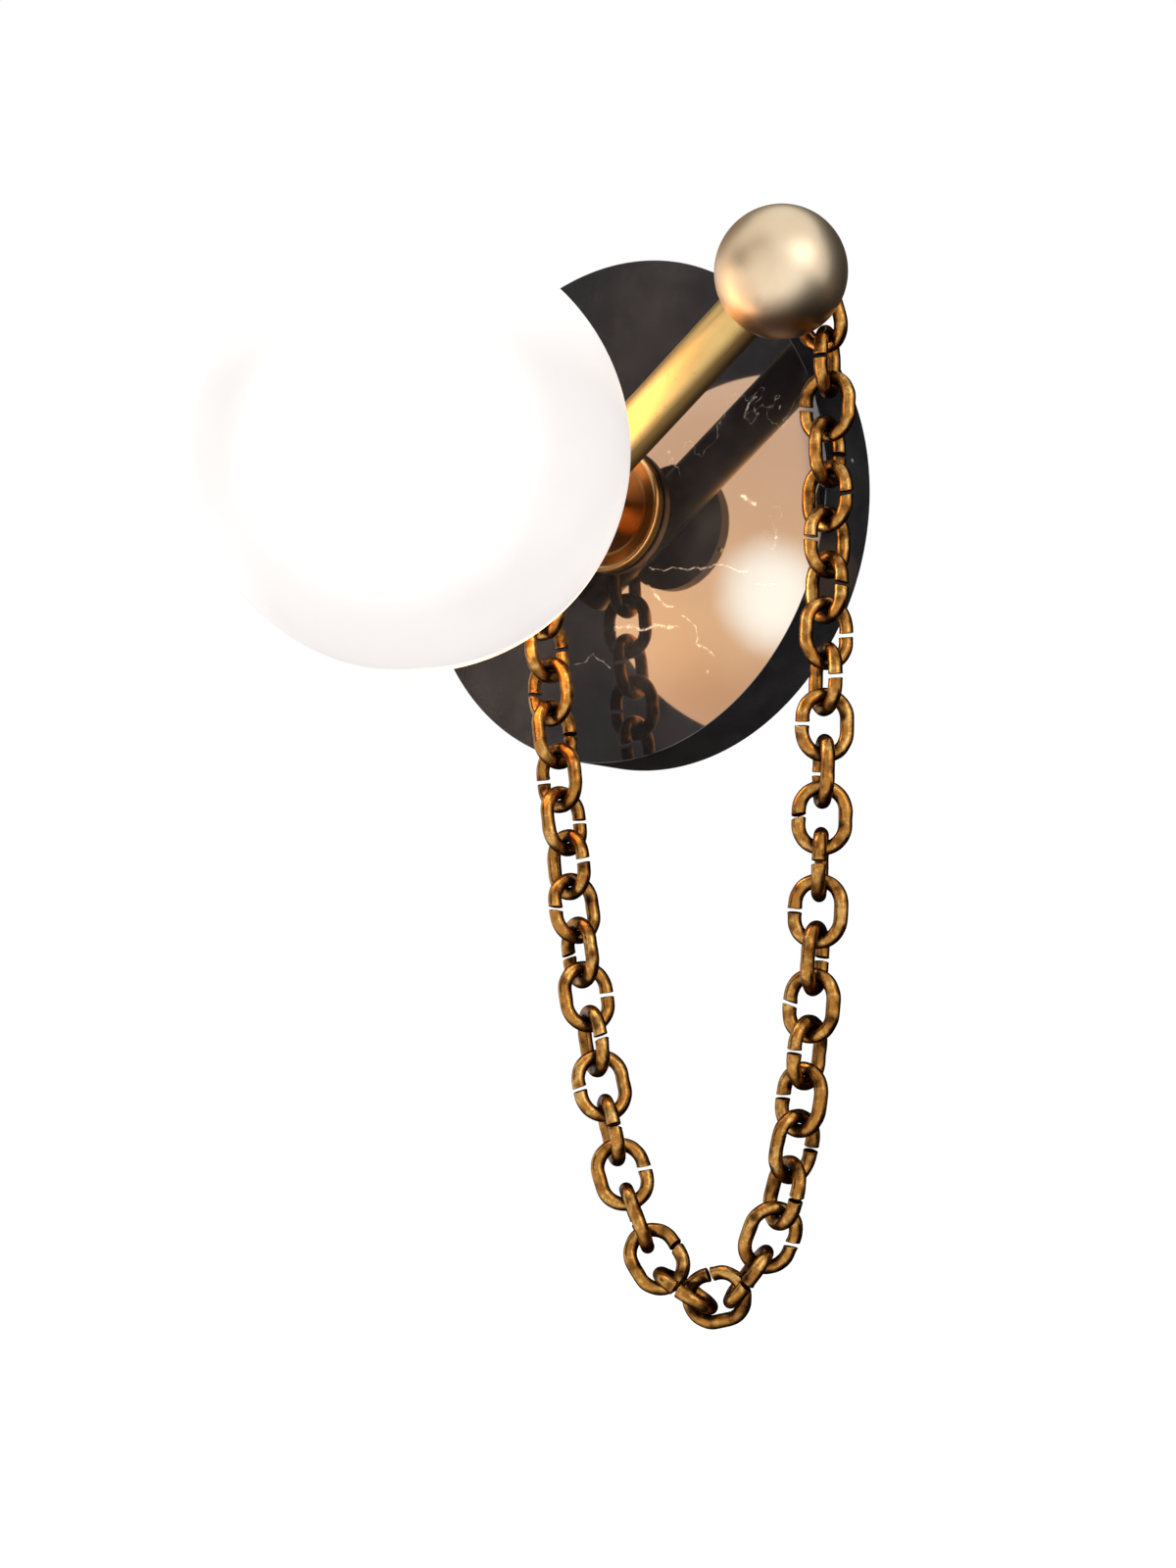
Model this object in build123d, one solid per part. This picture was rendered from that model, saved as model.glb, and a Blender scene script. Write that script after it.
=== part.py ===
from build123d import *
import math
import os

# A wall sconce: a marble disc on the wall, a brass arm tube that crosses in front of it
# behind an opal globe, a brass ball on the tube's raised end, and a chain that hangs in a
# long loop from a staple behind the ball to one under the tube's hidden end.
#
# The pieces are modelled in the room's sense as seen from the front: x to the right,
# y up, z out of the wall, from the centre of the disc's back. The last section turns
# them so that Z is up and the wall lies on the +Y side.

# ------------------------------------------------------------------ driving sizes, mm
# Marble disc
disc_radius = 100.0
disc_thickness = 30.0
disc_arris = 0.8            # small bevel round both edges
recess_room = 2.6           # round the bracket, in the recess turned out of the back
recess_depth = 22.0

# Threaded tube that everything is strung on
nipple_radius = 5.0
nipple_bore = 3.5
nipple_inset = 1.0          # its back end stops this far behind the bracket's plateau
thread_clearance = 0.05     # between a thread's crest and the hole that takes it
through_clearance = 0.4     # round the threaded tube, in pieces that only slide over it

# Wall bracket, a hat-shaped strap
bracket_length = 104.0
bracket_width = 24.0
bracket_sheet = 2.0
bracket_plateau = 60.0      # length of its raised middle, over the risers
bracket_standoff = 9.0      # room behind the plateau
bend_radius = 1.2
slot_spacing = 84.0
slot_length = 10.0
slot_width = 5.0

# Hexagon nuts on the threaded tube
nut_flats = 14.0
nut_height = 4.0

# Earth screw with its washer, on the left of the plateau
earth_x = -20.0
earth_radius = 2.0
earth_head_radius = 4.0
earth_head_height = 2.4
earth_washer_radius = 4.5
earth_washer_height = 0.8
earth_tail = 2.0            # thread that shows behind the plateau

# Terminal block, on the right of the plateau
block_x = 20.0
block_width = 16.0
block_length = 20.0
block_height = 10.0
block_round = 1.0
pole_pitch = 8.0
pole_height = 4.5           # of the wire bores, above the plateau
insert_radius = 2.3
insert_bore = 1.5
insert_length = 16.0
clamp_radius = 1.25
clamp_height = 4.0
clamp_pitch = 9.0
clamp_well = 1.8            # radius of the wells that the clamp screws stand in
block_screw_radius = 1.5
block_screw_head = 2.4
block_screw_head_height = 1.6
fit_clearance = 0.05        # round a piece that is pushed into another

# Insulated leads, from the terminal block through the threaded tube
lead_radius = 1.1
lead_spread = 1.6           # of each lead from the axis, inside the threaded tube
lead_bend = 4.0
lead_drop = 7.0             # they turn back this far below the block
lead_back = 4.6             # they pass behind the plateau this far from the wall

# Rosette and its soft washer
washer_radius = 23.0
washer_height = 0.8
rosette_radius = 25.0
rosette_height = 3.4
rosette_chamfer = 1.0
rosette_step_radius = 18.0
rosette_step = 1.2

# Arm tube and the pieces that seat on it
arm_angle = 32.86           # its rise to the right, degrees
arm_gap = 26.8              # its axis, in front of the disc's face
arm_radius = 9.8
arm_wall = 1.2
arm_back_reach = 41.0       # from the disc's axis to its lower end
seat_clearance = 0.03       # between a saddle or a bored ball and the tube
hub_radius = 7.5
saddle_radius = 7.0
cap_plate = 2.0
cap_round = 1.2
cap_spigot = 5.0

# Ball
ball_reach = 121.2          # from the disc's axis, along the tube
ball_radius = 24.5
ball_wall = 2.0
ball_tube_depth = 8.0       # how far the tube goes in

# Chain
wire_radius = 2.5
link_length = 27.3          # outside
link_width = 22.0           # outside
link_count = 39
link_cut = 1.6              # open cut in one leg of each link
link_play = 0.2             # between two links that hang straight
bend_play = 0.34            # between two links at the loop's foot, where they turn most
hang_right = 4.4            # where the first link hangs, from the ball's centre
hang_under = 21.6
hang_behind = 22.1
# The chain twists as it hangs: (link number, turn of its even links in degrees)
chain_twist = ((0, -14.0), (18, 112.0), (20, 138.0), (22, 172.0), (24, 203.0), (26, 212.0), (34, 254.0))
# The leg that each link is cut on, from the ball round to the arm, as the links
# hang before someone on the lamp's right: left, right, front, back or top.
cut_legs = "LLRRLRRRLBLFLBLLLRRRF" "T" "TTBRFLFRBLFRLRLR" "B"
viewer_bearing = 38.4       # of that place, from straight in front, degrees

# Staples that the chain hangs from: a bow of wire whose two legs are let into its carrier
ball_staple_bow = 8.5       # radius of the wire's centreline
ball_staple_turn = 14.0     # of its plane out of the chain's plane, degrees
ball_staple_lean = 20.0     # of its legs from upright, in to the ball
ball_staple_depth = 3.5     # its legs, inside the ball
arm_staple_bow = 6.5
arm_staple_reach = -19.4    # along the tube, from the disc's axis
arm_staple_drop = 21.0      # from the tube's axis down to where the last link hangs
arm_staple_depth = 2.4      # its legs, inside the tube

# Globe holder: a shallow cup in front of the tube
cup_gap = 0.6               # between the tube and the cup's back
cup_sheet = 1.2
cup_wall = 1.6
cup_play = 1.0              # between the globe's neck and the cup's wall
cup_lip_gap = 0.6           # between the cup's rim and the globe

# Opal globe
globe_radius = 79.0
globe_wall = 3.0
neck_radius = 23.0
neck_length = 4.0           # from its end to where the ball starts
neck_seat_gap = 0.3         # between the neck's end and the cup's floor
neck_round = 0.6

# Grub screws that grip the neck
grub_radius = 1.0
grub_length = 3.4
grub_height = 1.9           # of their axis, above the cup's floor
grub_tip_gap = 0.05
grub_slot = 0.4
grub_slot_depth = 0.7
grub_angles = (90.0, 210.0, 330.0)

# Lampholder for a small screw cap, on the end of the threaded tube
holder_radius = 14.0
holder_wall = 2.0
holder_cap_height = 13.0
holder_cap_roof = 7.5       # thickness that the threaded tube screws into
holder_body_height = 27.0
holder_floor = 4.0
holder_round = 1.5
shell_wall = 0.4
shell_play = 0.35           # between the threaded shell and the lamp's cap
shell_length = 20.0
contact_width = 4.0
contact_sheet = 0.5
contact_rise = 2.0

# Small round lamp
lamp_cap_radius = 6.9
lamp_cap_length = 20.0
lamp_cap_sheet = 0.5
lamp_glass_radius = 17.5
lamp_glass_wall = 1.2
lamp_neck_radius = 8.4
lamp_waist = 10.0           # from the cap to where the glass has left the neck
lamp_tip_radius = 2.6
lamp_tip_height = 1.4
lamp_rest = 0.15            # between its tip and the spring contact

# ------------------------------------------------------------------- worked-out places
recess_radius = math.hypot(bracket_length, bracket_width) / 2 + recess_room
plateau_front = bracket_standoff + bracket_sheet
face = disc_thickness
rosette_back = face + washer_height
rosette_floor = rosette_back + rosette_height - rosette_step
arm_out = face + arm_gap
arm_bore = arm_radius - arm_wall
cup_back = arm_out + arm_radius + cup_gap
cup_floor = cup_back + cup_sheet
neck_bore = neck_radius - globe_wall
neck_end = cup_floor + neck_seat_gap
globe_out = neck_end + neck_length + math.sqrt(globe_radius**2 - neck_radius**2)
cup_inner = neck_radius + cup_play
cup_outer = cup_inner + cup_wall
cup_rim = globe_out - math.sqrt(globe_radius**2 - cup_inner**2) - cup_lip_gap
holder_back = cup_floor + nut_height
holder_joint = holder_back + holder_cap_height
holder_mouth = holder_joint + holder_body_height
nipple_back = bracket_standoff - nipple_inset
nipple_front = holder_back + holder_cap_roof
contact_face = holder_joint + holder_floor + contact_rise
lamp_tip = contact_face + lamp_rest
lamp_cap_back = lamp_tip + lamp_tip_height
lamp_cap_front = lamp_cap_back + lamp_cap_length
shell_radius = lamp_cap_radius + shell_play + shell_wall

arm_rise = math.radians(arm_angle)
arm_along = Vector(math.cos(arm_rise), math.sin(arm_rise), 0)
arm_under = Vector(math.sin(arm_rise), -math.cos(arm_rise), 0)
arm_plane = Plane(origin=(0, 0, arm_out), x_dir=(0, 0, 1), z_dir=arm_along)
arm_front_reach = ball_reach - math.sqrt(ball_radius**2 - arm_radius**2) + ball_tube_depth
ball_centre = Vector(0, 0, arm_out) + arm_along * ball_reach

right_pivot = ball_centre + Vector(hang_right, -hang_under, -hang_behind)
arm_staple_foot = Vector(0, 0, arm_out) + arm_along * arm_staple_reach
left_pivot = arm_staple_foot - Vector(0, arm_staple_drop, 0)


# ------------------------------------------------------------------------ small helpers
def turned(*outline):
    """A turned piece: (radius, height) corners, revolved about the z axis."""
    return revolve(Plane.XZ * make_face(Polyline(*outline, close=True)), Axis.Z)


def rod(radius, low, high):
    """A round bar on the z axis."""
    return Pos(0, 0, low) * Cylinder(radius, high - low, align=(Align.CENTER, Align.CENTER, Align.MIN))


def hexagon(flats, low, high):
    """A hexagonal bar on the z axis."""
    flat = RegularPolygon(flats / 2, 6, major_radius=False)
    return Pos(0, 0, low) * extrude(flat, high - low)


# ------------------------------------------------------------------ disc and wall fixing
def make_disc():
    a = disc_arris
    stone = turned(
        (0, 0), (disc_radius - a, 0), (disc_radius, a),
        (disc_radius, disc_thickness - a), (disc_radius - a, disc_thickness), (0, disc_thickness),
    )
    return stone - rod(recess_radius, 0, recess_depth) - rod(nipple_radius + through_clearance, 0, face)


def make_bracket():
    inner, outer = bracket_plateau / 2 - bracket_sheet, bracket_plateau / 2
    half = [
        (inner, bracket_standoff), (inner, 0), (bracket_length / 2, 0),
        (bracket_length / 2, bracket_sheet), (outer, bracket_sheet), (outer, plateau_front),
    ]
    mirrored = [(-x, z) for x, z in reversed(half)]
    strap = make_face(Polyline(*half, *mirrored, close=True))
    bends = [v for v in strap.vertices() if abs(v.X) < bracket_plateau / 2 + bracket_sheet]
    strap = extrude(Plane.XZ * fillet(bends, bend_radius), bracket_width / 2, both=True)
    for side in (-1, 1):
        slot = Pos(side * slot_spacing / 2, 0, 0) * SlotOverall(slot_length, slot_width)
        strap -= extrude(slot, bracket_sheet * 2, both=True)
    strap -= rod(nipple_radius + thread_clearance, 0, plateau_front)
    strap -= Pos(earth_x, 0, 0) * rod(earth_radius + thread_clearance, 0, plateau_front)
    return strap - Pos(block_x, 0, 0) * rod(block_screw_radius + thread_clearance, 0, plateau_front)


def make_nut(flats, low, height, bore):
    return hexagon(flats, low, low + height) - rod(bore, low, low + height)


def make_nipple():
    return rod(nipple_radius, nipple_back, nipple_front) - rod(nipple_bore, nipple_back, nipple_front)


def make_earth_screw():
    low = plateau_front + earth_washer_height
    head = turned(
        (0, low), (earth_head_radius, low), (earth_head_radius, low + earth_head_height / 2),
        (earth_head_radius * 0.7, low + earth_head_height), (0, low + earth_head_height),
    )
    slot = Pos(0, 0, low + earth_head_height) * Box(2 * earth_head_radius, 0.8, earth_head_height)
    shank = rod(earth_radius, bracket_standoff - earth_tail, low)
    return Pos(earth_x, 0, 0) * (head - slot + shank)


def make_earth_washer():
    top = plateau_front + earth_washer_height
    ring = rod(earth_washer_radius, plateau_front, top) - rod(earth_radius + through_clearance, plateau_front, top)
    return Pos(earth_x, 0, 0) * ring


def poles():
    """Places of the terminal block's two poles, left then right."""
    return [Pos(block_x + side * pole_pitch / 2, 0, plateau_front + pole_height) for side in (-1, 1)]


def lengthways(radius, length):
    """A round bar along y, centred."""
    return Rot(90, 0, 0) * Cylinder(radius, length)


def make_block():
    body = Pos(block_x, 0, plateau_front + block_height / 2) * Box(block_width, block_length, block_height)
    body = fillet(body.edges().filter_by(Axis.Z), block_round)
    top = plateau_front + block_height
    for pole in poles():
        body -= pole * lengthways(insert_radius + fit_clearance, block_length)
        for side in (-1, 1):
            x = pole.position.X
            body -= Pos(x, side * clamp_pitch / 2, 0) * rod(clamp_well, plateau_front + pole_height, top)
    body -= Pos(block_x, 0, 0) * rod(block_screw_radius + through_clearance, plateau_front, top)
    seat = top - block_screw_head_height
    return body - Pos(block_x, 0, 0) * rod(block_screw_head + through_clearance, seat, top)


def make_inserts():
    drilled = []
    for pole in poles():
        insert = pole * (lengthways(insert_radius, insert_length) - lengthways(insert_bore, insert_length))
        for side in (-1, 1):
            hole = rod(clamp_radius + thread_clearance, 0, insert_radius * 2)
            insert -= pole * Pos(0, side * clamp_pitch / 2, 0) * hole
        drilled.append(insert)
    return drilled


def make_clamp_screws():
    low = insert_bore - 0.2
    return [
        pole * Pos(0, side * clamp_pitch / 2, 0) * rod(clamp_radius, low, low + clamp_height)
        for pole in poles() for side in (-1, 1)
    ]


def make_block_screw():
    top = plateau_front + block_height
    seat = top - block_screw_head_height
    head = rod(block_screw_head, seat, top - 0.2) - Pos(0, 0, top) * Box(2 * block_screw_head, 0.7, 1.6)
    return Pos(block_x, 0, 0) * (head + rod(block_screw_radius, bracket_standoff - 1, seat))


def make_lead(side):
    """One lead: out of the block, round the bracket's edge, then out through the threaded tube."""
    pole = block_x + side * pole_pitch / 2
    entry = plateau_front + pole_height
    low = -block_length / 2 - lead_drop
    route = FilletPolyline(
        (pole, -block_length / 2, entry),
        (pole, low, entry),
        (pole, low, lead_back),
        (side * lead_spread, 0, lead_back),
        (side * lead_spread, 0, holder_joint),
        radius=lead_bend,
    )
    return sweep(Plane(origin=route @ 0, z_dir=route % 0) * Circle(lead_radius), path=route)


# ----------------------------------------------------------------- rosette, arm and ball
def make_washer():
    top = face + washer_height
    return rod(washer_radius, face, top) - rod(nipple_radius + through_clearance, face, top)


def make_rosette():
    top = rosette_back + rosette_height
    bore = nipple_radius + through_clearance
    return turned(
        (bore, rosette_back), (rosette_radius, rosette_back),
        (rosette_radius, top - rosette_chamfer), (rosette_radius - rosette_chamfer, top),
        (rosette_step_radius, top), (rosette_step_radius - rosette_step, rosette_floor),
        (bore, rosette_floor),
    )


def arm_bar(radius, low, high):
    """A round bar on the arm's axis, between two distances from the disc's axis."""
    return arm_plane * rod(radius, low, high)


def make_hub():
    bar = rod(hub_radius, rosette_floor, arm_out) - rod(nipple_radius + thread_clearance, rosette_floor, arm_out)
    return bar - arm_bar(arm_radius + seat_clearance, -arm_back_reach, arm_back_reach)


def make_saddle():
    bar = rod(saddle_radius, arm_out, cup_back) - rod(nipple_radius + through_clearance, arm_out, cup_back)
    return bar - arm_bar(arm_radius + seat_clearance, -arm_back_reach, arm_back_reach)


def make_arm_tube():
    tube = arm_bar(arm_radius, -arm_back_reach, arm_front_reach)
    tube -= arm_bar(arm_bore, -arm_back_reach, arm_front_reach)
    tube -= rod(nipple_radius + through_clearance, arm_out - arm_radius, arm_out + arm_radius)
    return drilled_for(tube, *arm_staple_sizes())


def make_end_cap():
    plate = arm_plane * Pos(0, 0, -arm_back_reach - cap_plate) * Cylinder(
        arm_radius, cap_plate, align=(Align.CENTER, Align.CENTER, Align.MIN)
    )
    outer = plate.edges().filter_by(GeomType.CIRCLE).sort_by(Axis(origin=(0, 0, 0), direction=arm_along))[0]
    plug = arm_bar(arm_bore - fit_clearance, -arm_back_reach, -arm_back_reach + cap_spigot)
    return fillet(outer, cap_round) + plug


def staple_middle(hang, up, bow):
    """The centre of the bow of a staple that a link hangs from at that point."""
    return hang - Vector(0, joint_reach(link_play), 0) + up * bow


def staple_legs(hang, across, up, bow, tops, wire):
    """The staple's two legs, each from the bow's end to its top."""
    middle = staple_middle(hang, up, bow)
    return [
        Plane(origin=middle + across * (side * bow), z_dir=up) * rod(wire, 0, top)
        for side, top in zip((-1, 1), tops)
    ]


def make_staple(hang, across, up, bow, tops, wire=wire_radius):
    """A bow of wire and its two legs."""
    middle = staple_middle(hang, up, bow)
    staple = Plane(origin=middle, x_dir=across, z_dir=across.cross(up)) * half_bow(bow, wire, -1)
    for leg in staple_legs(hang, across, up, bow, tops, wire):
        staple += leg
    return staple


def ball_staple_sizes():
    """The half link behind the ball leans in to it, and each leg stops well inside."""
    level, normal = chain_directions()
    turn, lean = math.radians(ball_staple_turn), math.radians(ball_staple_lean)
    across = level * math.cos(turn) + normal * math.sin(turn)
    upright = Vector(0, 1, 0)
    up = upright * math.cos(lean) + across.cross(upright) * math.sin(lean)
    tops = []
    for side in (-1, 1):
        away = staple_middle(right_pivot, up, ball_staple_bow) + across * (side * ball_staple_bow) - ball_centre
        inside = math.sqrt(ball_radius**2 - away.dot(away) + away.dot(up) ** 2)
        tops.append(-away.dot(up) - inside + ball_staple_depth)
    return right_pivot, across, up, ball_staple_bow, tops


def arm_staple_sizes():
    """The smaller half link under the arm tube stands straight down from it."""
    skin = math.sqrt(arm_radius**2 - arm_staple_bow**2) / math.cos(arm_rise)
    top = arm_staple_drop - skin + arm_staple_depth + joint_reach(link_play) - arm_staple_bow
    return left_pivot, Vector(0, 0, 1), Vector(0, 1, 0), arm_staple_bow, (top, top)


def drilled_for(piece, hang, across, up, bow, tops):
    """The piece with a hole for each leg of a staple."""
    for hole in staple_legs(hang, across, up, bow, tops, wire_radius + fit_clearance):
        piece -= hole
    return piece


def make_ball():
    ball = Pos(ball_centre) * (Sphere(ball_radius) - Sphere(ball_radius - ball_wall))
    ball -= arm_bar(arm_radius + seat_clearance, 0, ball_reach)
    return drilled_for(ball, *ball_staple_sizes())


# ---------------------------------------------------------------------------- the chain
def half_bow(radius, wire, side):
    """Half a ring of wire in the local xy plane, bulging towards side * y."""
    ends = Pos(radius, 0, 0) * (Plane.XZ * Circle(wire))
    return revolve(ends, Axis.Z, 180 * side)


def make_link():
    """One link: local x along it, local y across it, its cut in the leg on +y."""
    bow = link_width / 2 - wire_radius
    leg = link_length / 2 - wire_radius - bow
    link = Pos(leg, 0, 0) * Rot(0, 0, -90) * half_bow(bow, wire_radius, 1)
    link += Pos(-leg, 0, 0) * Rot(0, 0, 90) * half_bow(bow, wire_radius, 1)
    along = Plane.YZ * Circle(wire_radius)
    link += Pos(-leg, -bow, 0) * extrude(along, 2 * leg)
    for side in (-1, 1):
        start = side * link_cut / 2
        link += Pos(start, bow, 0) * extrude(along, side * (leg - link_cut / 2))
    return link


def chain_directions():
    """The level way from the arm's staple to the ball's, and the chain plane's normal, into the room."""
    level = Vector(right_pivot.X - left_pivot.X, 0, right_pivot.Z - left_pivot.Z).normalized()
    return level, level.cross(Vector(0, 1, 0))


def joint_reach(play, turn=0.0):
    """From the joint between two links to either one's wire, when one has slid that far round the
    other's bow: it is half the wire's thickness and more as the bow curves in on it."""
    bow = link_width / 2 - wire_radius
    inner = bow - 2 * wire_radius - play
    room = bow**2 - 2 * (bow**2 - inner**2) / (1 + math.cos(turn))
    return (bow - math.sqrt(max(room, 0.0))) / 2


def catenary(sag):
    """The hanging curve through both pivots with that parameter, as height over the left pivot."""
    span = math.hypot(right_pivot.X - left_pivot.X, right_pivot.Z - left_pivot.Z)
    rise = right_pivot.Y - left_pivot.Y
    foot = span / 2 - sag * math.asinh(rise / (2 * sag * math.sinh(span / (2 * sag))))
    return span, lambda x: sag * (math.cosh((x - foot) / sag) - math.cosh(foot / sag))


def walk(sag, chords):
    """The joints of a chain with those lengths, laid on the curve from the right pivot."""
    span, height = catenary(sag)
    x, joints = span, [(span, height(span))]
    for chord in chords:
        y, low, high = height(x), x - chord, x
        for _ in range(50):
            middle = (low + high) / 2
            short = math.hypot(middle - x, height(middle) - y) < chord
            low, high = (low, middle) if short else (middle, high)
        x = (low + high) / 2
        joints.append((x, height(x)))
    return joints


def hang(chords):
    """The joints when the last one just meets the left pivot: a deeper curve takes more chain."""
    shallow, deep = 60.0, 8.0
    for _ in range(60):
        sag = (shallow + deep) / 2
        past = walk(sag, chords)[-1][0] < 0
        shallow, deep = (sag, deep) if past else (shallow, sag)
    return walk((shallow + deep) / 2, chords)


def turns(joints):
    """The angle between the two links at each joint, with none at the two ends."""
    headings = [math.atan2(b[1] - a[1], b[0] - a[0]) for a, b in zip(joints, joints[1:])]
    bends = [(b - a + math.pi) % (2 * math.pi) - math.pi for a, b in zip(headings, headings[1:])]
    return [0.0, *[abs(bend) for bend in bends], 0.0]


def hang_links():
    """Each link's joints, with room for the wire where the chain turns sharply."""
    centreline = link_length - 2 * wire_radius
    reaches = [joint_reach(link_play)] * (link_count + 1)
    for _ in range(6):
        chords = [centreline - a - b for a, b in zip(reaches, reaches[1:])]
        joints = hang(chords)
        reaches = [max(joint_reach(link_play), joint_reach(bend_play, turn)) for turn in turns(joints)]
    return joints, reaches


def even_turn(number):
    """The twist of an even link, between the stations of chain_twist."""
    for (a, low), (b, high) in zip(chain_twist, chain_twist[1:]):
        if number <= b:
            return low + (high - low) * (number - a) / (b - a)
    return chain_twist[-1][1]


def view_directions():
    """The senses of the letters in cut_legs, for someone who stands at viewer_bearing."""
    bearing = math.radians(viewer_bearing)
    right = Vector(math.cos(bearing), 0, -math.sin(bearing))
    front = Vector(math.sin(bearing), 0, math.cos(bearing))
    return {"R": right, "L": right * -1, "F": front, "B": front * -1, "T": Vector(0, 1, 0)}


def link_places():
    """A plane for each link: its x along the link, its y towards the leg with the cut."""
    level, normal = chain_directions()
    joints, reaches = hang_links()
    points = [left_pivot + level * x + Vector(0, y, 0) for x, y in joints]
    towards = view_directions()
    places = []
    for number in range(1, link_count + 1):
        a, b = points[number - 1], points[number]
        along = (b - a).normalized()
        side = normal.cross(along)
        twist = math.radians(even_turn(number) + 90.0 * (number % 2))
        across = side * math.cos(twist) + normal * math.sin(twist)
        if across.dot(towards[cut_legs[number - 1]]) < 0:
            across = across * -1
        centre = a + along * (link_length / 2 - wire_radius - reaches[number - 1])
        places.append(Plane(origin=centre, x_dir=along, z_dir=along.cross(across)))
    return places


def make_chain():
    link = make_link()
    return [place * link for place in link_places()]


# ------------------------------------------------------------- globe, lampholder and lamp
def make_cup():
    cup = turned(
        (0, cup_back), (cup_outer, cup_back), (cup_outer, cup_rim),
        (cup_inner, cup_rim), (cup_inner, cup_floor), (0, cup_floor),
    )
    cup -= rod(nipple_radius + through_clearance, cup_back, cup_floor)
    for angle in grub_angles:
        hole = rod(grub_radius + thread_clearance, cup_inner - 1, cup_outer + 1)
        cup -= grub_plane(angle) * hole
    return cup


def grub_plane(angle):
    """A plane on the cup's axis at the grub screws' height, its z pointing out at that angle."""
    a = math.radians(angle)
    return Plane(origin=(0, 0, cup_floor + grub_height), x_dir=(0, 0, 1), z_dir=(math.cos(a), math.sin(a), 0))


def make_grub(angle):
    low = neck_radius + grub_tip_gap
    high = low + grub_length
    screw = rod(grub_radius, low, high)
    slot = Pos(0, 0, high) * Box(grub_slot, 4 * grub_radius, 2 * grub_slot_depth)
    return grub_plane(angle) * (screw - slot)


def make_globe():
    inner = globe_radius - globe_wall
    outer_start = globe_out - math.sqrt(globe_radius**2 - neck_radius**2)
    inner_start = globe_out - math.sqrt(inner**2 - neck_bore**2)
    shoulder = math.sqrt(0.5)
    profile = (
        Line((neck_radius, neck_end), (neck_radius, outer_start))
        + ThreePointArc(
            (neck_radius, outer_start),
            (globe_radius * shoulder, globe_out + globe_radius * shoulder),
            (0, globe_out + globe_radius),
        )
        + Line((0, globe_out + globe_radius), (0, globe_out + inner))
        + ThreePointArc(
            (0, globe_out + inner),
            (inner * shoulder, globe_out + inner * shoulder),
            (neck_bore, inner_start),
        )
        + Line((neck_bore, inner_start), (neck_bore, neck_end))
        + Line((neck_bore, neck_end), (neck_radius, neck_end))
    )
    section = make_face(profile)
    lip = [v for v in section.vertices() if abs(v.Y - neck_end) < 1e-6]
    return revolve(Plane.XZ * fillet(lip, neck_round), Axis.Z)


def make_holder_cap():
    cap = rod(holder_radius, holder_back, holder_joint)
    cap = fillet(cap.edges().sort_by(Axis.Z)[0], holder_round)
    cap -= rod(holder_radius - holder_wall, holder_back + holder_cap_roof, holder_joint)
    return cap - rod(nipple_radius + thread_clearance, holder_back, holder_joint)


def make_holder_body():
    body = rod(holder_radius, holder_joint, holder_mouth)
    return body - rod(shell_radius + fit_clearance, holder_joint + holder_floor, holder_mouth)


def make_shell():
    low = holder_joint + holder_floor + contact_rise
    return rod(shell_radius, low, low + shell_length) - rod(shell_radius - shell_wall, low, low + shell_length)


def make_contact():
    """The spring tongue that the lamp's tip presses on: a foot, a rise and a flat."""
    reach = shell_radius - shell_wall - 1.0
    floor = holder_joint + holder_floor
    outline = Polyline(
        (-reach, floor), (-reach / 3, floor), (-reach / 6, contact_face - contact_sheet),
        (reach / 3, contact_face - contact_sheet), (reach / 3, contact_face),
        (-reach / 4, contact_face), (-reach / 2.4, floor + contact_sheet),
        (-reach, floor + contact_sheet), close=True,
    )
    return extrude(Plane.XZ * make_face(outline), contact_width / 2, both=True)


def make_lamp_glass():
    """The bulb: a short neck that opens out into a ball, hollow, open at the cap."""
    centre = lamp_cap_front + lamp_waist + lamp_glass_radius * 0.82
    wall = lamp_glass_wall

    def half(radius, neck):
        touch = math.radians(52.0)
        start = (radius * math.cos(touch), centre - radius * math.sin(touch))
        return (
            Line((neck, lamp_cap_front), (neck, lamp_cap_front + 1.5))
            + Spline(
                (neck, lamp_cap_front + 1.5), start,
                tangents=((0, 1), (math.sin(touch), math.cos(touch))),
            )
            + ThreePointArc(start, (radius, centre), (0, centre + radius))
        )

    section = make_face(
        half(lamp_glass_radius, lamp_neck_radius)
        + half(lamp_glass_radius - wall, lamp_neck_radius - wall)
        + Line((0, centre + lamp_glass_radius), (0, centre + lamp_glass_radius - wall))
        + Line((lamp_neck_radius, lamp_cap_front), (lamp_neck_radius - wall, lamp_cap_front))
    )
    return revolve(Plane.XZ * section, Axis.Z)


def make_lamp_cap():
    cap = rod(lamp_cap_radius, lamp_cap_back, lamp_cap_front)
    hollow = rod(lamp_cap_radius - lamp_cap_sheet, lamp_cap_back + lamp_cap_sheet, lamp_cap_front)
    return cap - hollow - rod(lamp_tip_radius + fit_clearance, lamp_cap_back, lamp_cap_front)


def make_lamp_tip():
    head = turned(
        (0, lamp_tip), (lamp_tip_radius * 0.6, lamp_tip), (lamp_tip_radius, lamp_cap_back),
        (lamp_tip_radius, lamp_cap_back + 2 * lamp_cap_sheet), (0, lamp_cap_back + 2 * lamp_cap_sheet),
    )
    return head


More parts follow.
